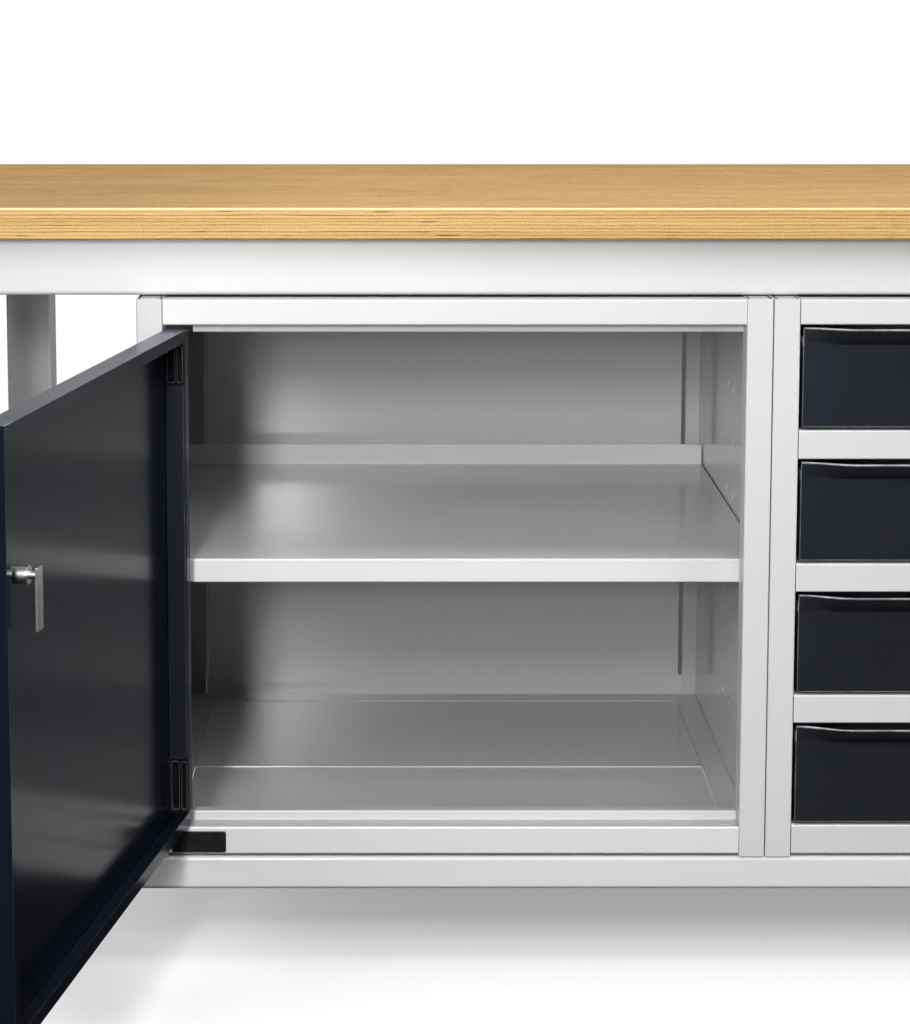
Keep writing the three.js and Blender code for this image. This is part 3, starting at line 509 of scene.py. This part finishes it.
def front_edge(i):
    """The rounded fold line down both ends and along the bottom of a drawer front, in a pale colour that paints the
    highlight along the fold.
    """
    name = f"drawer_front_{i}"
    co = [v.co for v in nodes[name].data.vertices]
    x0, x1 = min(v.x for v in co), max(v.x for v in co)
    zb, top = min(v.z for v in co), max(v.z for v in co)
    r, c, y = 0.0006, 0.0022, -0.36225
    l, h, d, u = x0 + r, x1 - r, zb + r, top - 0.0215
    path = [(l, y - 0.0007, top - 0.003), (l, y, u), (l, y, (u + d) / 2), (l, y, d + c)]
    path += [(l + c - c * math.cos(t), y, d + c - c * math.sin(t)) for t in (0.4, 0.8, 1.2)]
    path += [(l + c + (h - l - 2 * c) * k / 24, y, d) for k in range(25)]
    path += [(h - c + c * math.sin(t), y, d + c - c * math.cos(t)) for t in (0.4, 0.8, 1.2)]
    path += [(h, y, d + c), (h, y, (u + d) / 2), (h, y, u), (h, y - 0.0007, top - 0.003)]
    add_mesh(f"front_edge_{i}", *bead(path, r), DRAWER_HIGHLIGHT, body_of[name], "dark_paint")


def shelf_hems():
    """The hemmed upper edge of the shelf's upstand and the fold at its foot, in a pale colour that paints the highlight
    lines along them.
    """
    co = [v.co for v in nodes["shelf"].data.vertices]
    top = max(v.z for v in co)
    edge = [v for v in co if v.z > top - 0.0005]
    y, l, h = min(v.y for v in edge), min(v.x for v in edge) + 0.001, max(v.x for v in edge) - 0.001
    floor = max(v.z for v in co if v.y < y - 0.1)
    for name, z, r in (("shelf_hem", top - 0.0004, 0.0008), ("shelf_fold", floor + 0.0004, 0.0007)):
        path = [(l + (h - l) * k / 30, y + 0.0004, z) for k in range(31)]
        add_mesh(name, *bead(path, r), SHELF_HIGHLIGHT, "bench", "light_paint")


def floor_lap():
    """The lapped edge that crosses the cabinet's floor a little in front of the back panel."""
    co = [v.co for v in nodes["cabinet_floor_rear"].data.vertices]
    top, l, h = max(v.z for v in co), min(v.x for v in co) + 0.002, max(v.x for v in co) - 0.002
    y = min(v.co.y for v in nodes["cabinet_back"].data.vertices) - 0.045
    path = [(l + (h - l) * k / 30, y, top + 0.0002) for k in range(31)]
    add_mesh("floor_lap", *bead(path, 0.0009), INNER_RIM, "bench", "light_paint")


def sweep(path, normal, r, closed=False, sides=8):
    """Vertices and faces of a round bead along a path in the plane across the given normal."""
    verts, faces, m = [], [], len(path)
    for i, p in enumerate(path):
        back, on = (path[i - 1], path[(i + 1) % m]) if closed else (path[max(i - 1, 0)], path[min(i + 1, m - 1)])
        across = (on - back).normalized().cross(normal)
        for k in range(sides):
            t = 2 * math.pi * k / sides
            verts.append(tuple(p + r * (math.cos(t) * normal + math.sin(t) * across)))
    for i in range(m if closed else m - 1):
        for k in range(sides):
            a, b, j = i * sides + k, i * sides + (k + 1) % sides, (i + 1) % m * sides
            faces.append((a, b, j + (k + 1) % sides, j + k))
    if not closed:
        faces += [tuple(range(sides))[::-1], tuple(range((m - 1) * sides, m * sides))]
    return verts, faces


def door_lines():
    """The fold along the door's upper edge and the pressed rims of the hinge plates' cups, in pale colours that paint
    the highlights along them.
    """
    turn = math.radians(-99.1)
    along, inward, up = Vector((math.cos(turn), math.sin(turn), 0)), Vector((-math.sin(turn), math.cos(turn), 0)), Vector((0, 0, 1))
    co = [v.co for v in nodes["door_panel"].data.vertices]
    us, ws = [v.dot(along) for v in co], [v.dot(inward) for v in co]
    top = max(v.z for v in co)
    l, h, w = min(us) + 0.001, max(us) - 0.001, max(ws) - 0.0004
    path = [along * (l + (h - l) * k / 24) + inward * w + up * (top - 0.0004) for k in range(25)]
    add_mesh("door_fold", *sweep(path, up, 0.0007), DRAWER_HIGHLIGHT, "door", "dark_paint")
    for tag in ("top", "bottom"):
        pc = [v.co for v in nodes[f"hinge_plate_{tag}"].data.vertices]
        face = max(v.dot(along) for v in pc)
        rim_co = [v for v in pc if v.dot(along) > face - 0.0002]
        za, zb = min(v.z for v in rim_co) + 0.0035, max(v.z for v in rim_co) - 0.0035
        for k, (a, b) in enumerate(((0.0042, 0.0132), (0.0159, 0.0219))):
            a, b, r, loop = a + min(ws), b + min(ws), 0.0022, []
            for cw, cz, q in ((b - r, zb - r, 0), (a + r, zb - r, 90), (a + r, za + r, 180), (b - r, za + r, 270)):
                for j in range(4):
                    t = math.radians(q + 30 * j)
                    loop.append(along * face + inward * (cw + r * math.cos(t)) + up * (cz + r * math.sin(t)))
            add_mesh(f"cup_rim_{tag}_{k + 1}", *sweep(loop, along, 0.0005, True), HINGE_GLINT, "door", "black_steel")


for i in range(1, 5):
    grip_hem(i)
    front_edge(i)
shelf_hems()
floor_lap()
door_lines()
for k, (x, z) in enumerate([(-0.702, 765.6), (-0.702, 754.0), (-0.0163, 150.0), (-0.0163, 139.0), (0.0163, 150.0), (0.0163, 139.0)]):
    weld_mark(k + 1, x, z / 1000 + FLOOR)


# ------------------------------------------------------------------ stage and light
def stage_floor():
    """Pale ground that takes the bench's soft shadow and runs out into the white backdrop."""
    m = Shader("floor_white")
    x, y, z = m.xyz()
    m.set(Base_Color=m.mix(m.noise(scale=2.0, detail=2), (0.51, 0.51, 0.51), (0.53, 0.53, 0.53)), Roughness=m.fit(m.noise(scale=5.0), 0.3, 0.7, 0.85, 0.95))
    m.bsdf.inputs["Specular IOR Level"].default_value = 0.0
    m.bsdf.inputs["Emission Color"].default_value = (1, 1, 1, 1)
    m.bsdf.inputs["Emission Strength"].default_value = 0.33
    far = m.math("SQRT", m.math("ADD", m.math("POWER", x, 2.0), m.math("POWER", y, 2.0)))
    clear = m.node("ShaderNodeBsdfTransparent")
    fade = m.node("ShaderNodeMixShader")
    m.link(m.fit(far, 1.5, 2.6, 0, 1, True), fade.inputs[0])
    m.link(m.bsdf.outputs[0], fade.inputs[1])
    m.link(clear.outputs[0], fade.inputs[2])
    m.link(fade.outputs[0], m.out.inputs[0])
    me = bpy.data.meshes.new("floor")
    s = 2.7
    me.from_pydata([(-s, -s, FLOOR), (s, -s, FLOOR), (s, s, FLOOR), (-s, s, FLOOR)], [], [(0, 1, 2, 3)])
    ob = bpy.data.objects.new("floor", me)
    me.materials.append(m.mat)
    scene.collection.objects.link(ob)
    ob.visible_diffuse = ob.visible_glossy = False


def lamp(name, at, to, w, h, power, gloss=True):
    data = bpy.data.lights.new(name, "AREA")
    data.shape, data.size, data.size_y, data.energy = "RECTANGLE", w, h, power
    ob = bpy.data.objects.new(name, data)
    ob.location = at
    ob.rotation_euler = (Vector(to) - Vector(at)).to_track_quat("-Z", "Y").to_euler()
    scene.collection.objects.link(ob)
    ob.visible_glossy = gloss
    return ob


stage_floor()
aim = (-0.40, -0.2, -0.40)
lamp("key_high", (-0.886, -3.363, 0.643), aim, 0.30, 0.30, 9)
lamp("key", (-0.886, -3.363, 0.27), aim, 0.35, 0.30, 28)
lamp("near", (-0.774, -1.86, 0.25), aim, 0.16, 0.16, 10)
lamp("high", (-0.3, -2.3, 1.30), (-0.3, -0.3, -0.2), 2.4, 1.3, 38)
lamp("over", (-0.2, -0.55, 2.0), (-0.2, -0.30, 0), 2.8, 1.3, 53)
lamp("side_right", (1.9, -1.1, 0.2), aim, 0.8, 1.0, 19, False)
lamp("side_left", (-1.9, -2.7, 0.3), aim, 0.8, 1.0, 7)
lamp("rear_right", (2.4, 2.6, 1.0), (0.2, 0.2, -0.4), 1.6, 1.6, 86, False)
lamp("rear_left", (-2.8, 2.2, 0.9), (-0.2, 0.2, -0.4), 1.6, 1.6, 82, False)

world = bpy.data.worlds.new("studio")
scene.world = world
world.use_nodes = True
wt = world.node_tree
wt.nodes.clear()
w_out = wt.nodes.new("ShaderNodeOutputWorld")
w_mix = wt.nodes.new("ShaderNodeMixShader")
w_path = wt.nodes.new("ShaderNodeLightPath")
w_dim, w_white = wt.nodes.new("ShaderNodeBackground"), wt.nodes.new("ShaderNodeBackground")
w_dim.inputs[0].default_value, w_dim.inputs[1].default_value = (1, 1, 1, 1), 0.02
w_white.inputs[0].default_value, w_white.inputs[1].default_value = (1, 1, 1, 1), 1.02
wt.links.new(w_path.outputs["Is Camera Ray"], w_mix.inputs[0])
wt.links.new(w_dim.outputs[0], w_mix.inputs[1])
wt.links.new(w_white.outputs[0], w_mix.inputs[2])
wt.links.new(w_mix.outputs[0], w_out.inputs[0])
scene.view_settings.view_transform = "Standard"

# ------------------------------------------------------------------ camera
cam = bpy.data.objects.new("camera", bpy.data.cameras.new("camera"))
scene.collection.objects.link(cam)
cam.location = (-0.41646, -3.10432, 0.22579)
cam.rotation_euler = (math.radians(90 - 6.6914), 0, 0)
cam.data.lens, cam.data.sensor_width = 86.40, 36
cam.data.shift_x, cam.data.shift_y = 0.05, -0.215
cam.data.clip_start, cam.data.clip_end = 0.05, 100
scene.camera = cam
